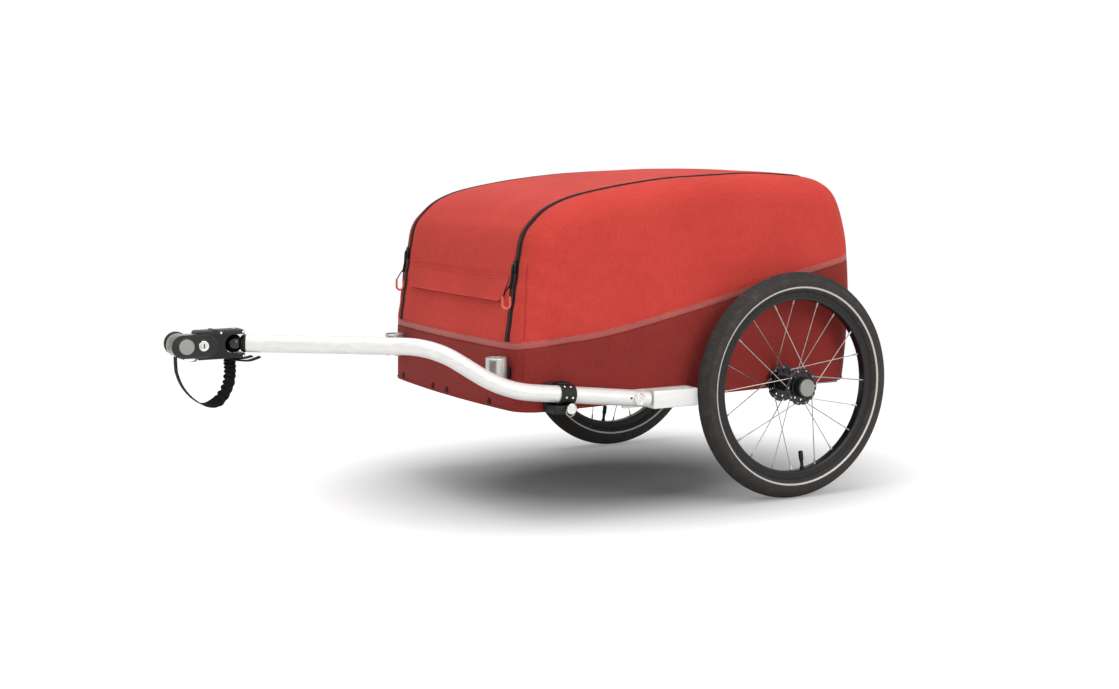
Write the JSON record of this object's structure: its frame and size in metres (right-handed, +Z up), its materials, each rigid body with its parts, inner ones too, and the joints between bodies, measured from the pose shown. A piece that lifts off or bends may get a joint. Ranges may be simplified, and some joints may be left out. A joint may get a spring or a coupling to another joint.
{
  "type": "bicycle trailer",
  "caption": "Open-framed cargo trailer for a bicycle: textile box under a zipped lid, quick-release spoked wheels, side drawbar with a lockable hitch head.",
  "frame": {"origin": "on the ground below the middle of the whole trailer, halfway between its sides and halfway between the front of the safety strap and the back of the tyres", "axes": "+Y points back from the hitch to the rear of the trailer, along its longest side, +X points to the side that the drawbar doesn't cross, +Z points up"},
  "size_m": [0.8772, 1.577, 0.721],
  "materials": {
    "red_fabric": "coated woven polyester, matte",
    "dark_red_fabric": "coated woven polyester, darker piece, matte",
    "band_tape": "woven reflective tape, dull pink",
    "black_webbing": "woven nylon webbing",
    "zip_tape": "zip tape with fine coil",
    "tyre": "matte tread, slightly dusty",
    "black_alloy": "black anodised, satin",
    "black_plastic": "moulded, fine grain",
    "glossy_black": "moulded, polished",
    "silver": "clear anodised, satin",
    "steel": "bright drawn steel",
    "grey_plastic": "moulded, satin",
    "floor_board": "pressed board, fine texture"
  },
  "bodies": {
    "frame": {"floor_panel": "floor_board", "side_rail_left": "silver", "side_rail_right": "silver", "cross_member_front": "silver", "cross_member_rear": "silver", "axle_beam": "silver", "axle_socket_left": "silver", "axle_socket_right": "silver", "axle_left": "steel", "axle_right": "steel", "hoop_pin_front_left": "steel", "hoop_pin_front_right": "steel", "hoop_pin_rear_left": "steel", "hoop_pin_rear_right": "steel", "tub_fabric": "dark_red_fabric", "reflective_band": "band_tape", "side_cover": "red_fabric", "zip_left": "zip_tape", "zip_right": "zip_tape", "rear_tab": "black_webbing", "rear_strap": "black_webbing", "receptacle_left": "silver", "receptacle_right": "silver", "rear_bracket": "silver", "front_clamp": "black_plastic"},
    "wheel_left": {"tyre_left": "tyre", "rim_left": "black_alloy", "hub_shell_left": "black_alloy", "spokes_outer_left": "steel", "spokes_inner_left": "steel", "valve_left": "black_plastic"},
    "wheel_right": {"tyre_right": "tyre", "rim_right": "black_alloy", "hub_shell_right": "black_alloy", "spokes_outer_right": "steel", "spokes_inner_right": "steel", "valve_right": "black_plastic"},
    "release_left": {"release_button_left": "grey_plastic"},
    "release_right": {"release_button_right": "grey_plastic"},
    "drawbar": {"drawbar_tube": "silver", "drawbar_collar": "black_plastic", "hitch_pin": "steel"},
    "swivel": {"swivel_ball": "glossy_black"},
    "coupling_head": {"coupling_yoke": "black_plastic", "swivel_pin": "steel", "coupling_sleeve": "steel", "mouth_ring": "black_plastic", "coupling_cover": "black_plastic", "strap_clip": "steel", "safety_strap": "black_webbing"},
    "head_button": {"push_button": "grey_plastic"},
    "lock": {"lock_cylinder": "steel"},
    "locking_pin": {"locking_pin": "steel", "pin_ring": "steel"},
    "lid": {"lid_panel": "red_fabric"},
    "flap": {"handle_flap": "red_fabric"},
    "slider_left": {"zip_slider_left": "black_plastic"},
    "slider_right": {"zip_slider_right": "black_plastic"},
    "hoop_left": {"side_hoop_left": "silver"},
    "hoop_right": {"side_hoop_right": "silver"}
  },
  "joints": [
    {"name": "wheel_left_spin", "type": "hinge", "parent": "frame", "child": "wheel_left", "pos_m": [0.388, 0.5385, 0.25], "axis": [1, 0, 0], "continuous": true},
    {"name": "wheel_right_spin", "type": "hinge", "parent": "frame", "child": "wheel_right", "pos_m": [-0.388, 0.5385, 0.25], "axis": [1, 0, 0], "continuous": true},
    {"name": "release_left_press", "type": "slide", "parent": "frame", "child": "release_left", "axis": [-1, 0, 0], "range_m": [0, 0.003], "stiffness_N_per_m": 500},
    {"name": "release_right_press", "type": "slide", "parent": "frame", "child": "release_right", "axis": [1, 0, 0], "range_m": [0, 0.003], "stiffness_N_per_m": 500},
    {"name": "drawbar_slide", "type": "slide", "parent": "frame", "child": "drawbar", "axis": [0, -0.9932, 0.1161], "range_m": [0, 0.12]},
    {"name": "coupling_roll", "type": "hinge", "parent": "drawbar", "child": "swivel", "pos_m": [0.179, -0.6375, 0.388], "axis": [-0.3679, -0.9292, 0.0354], "range_deg": [-90, 90]},
    {"name": "coupling_yaw", "type": "hinge", "parent": "swivel", "child": "coupling_head", "pos_m": [0.17017, -0.6598, 0.38885], "axis": [0, 0, 1], "range_deg": [-30, 30]},
    {"name": "head_button_press", "type": "slide", "parent": "coupling_head", "child": "head_button", "axis": [-1, 0, 0], "range_m": [0, 0.004], "stiffness_N_per_m": 800},
    {"name": "lock_turn", "type": "hinge", "parent": "coupling_head", "child": "lock", "pos_m": [0.195, -0.7255, 0.38885], "axis": [1, 0, 0], "range_deg": [0, 90]},
    {"name": "locking_pin_pull", "type": "slide", "parent": "frame", "child": "locking_pin", "axis": [1, 0, 0], "range_m": [0, 0.035]},
    {"name": "lid_open", "type": "hinge", "parent": "frame", "child": "lid", "pos_m": [0, 0.6265, 0.7145], "axis": [-1, 0, 0], "range_deg": [0, 115]},
    {"name": "flap_lift", "type": "hinge", "parent": "lid", "child": "flap", "pos_m": [0, -0.0913, 0.506], "axis": [-1, 0, 0], "range_deg": [0, 85]},
    {"name": "slider_left_run", "type": "slide", "parent": "frame", "child": "slider_left", "axis": [0, -0.1557, -0.9878], "range_m": [-0.02, 0.08]},
    {"name": "slider_right_run", "type": "slide", "parent": "frame", "child": "slider_right", "axis": [0, -0.1557, -0.9878], "range_m": [-0.02, 0.08]},
    {"name": "hoop_left_fold", "type": "hinge", "parent": "frame", "child": "hoop_left", "pos_m": [0.299, 0.3, 0.312], "axis": [0, 1, 0], "range_deg": [-88, 0]},
    {"name": "hoop_right_fold", "type": "hinge", "parent": "frame", "child": "hoop_right", "pos_m": [-0.299, 0.3, 0.284], "axis": [0, -1, 0], "range_deg": [-88, 0]}
  ],
  "couplings": [
    {"joint": "hoop_right_fold", "follows": "hoop_left_fold", "ratio": 1}
  ]
}
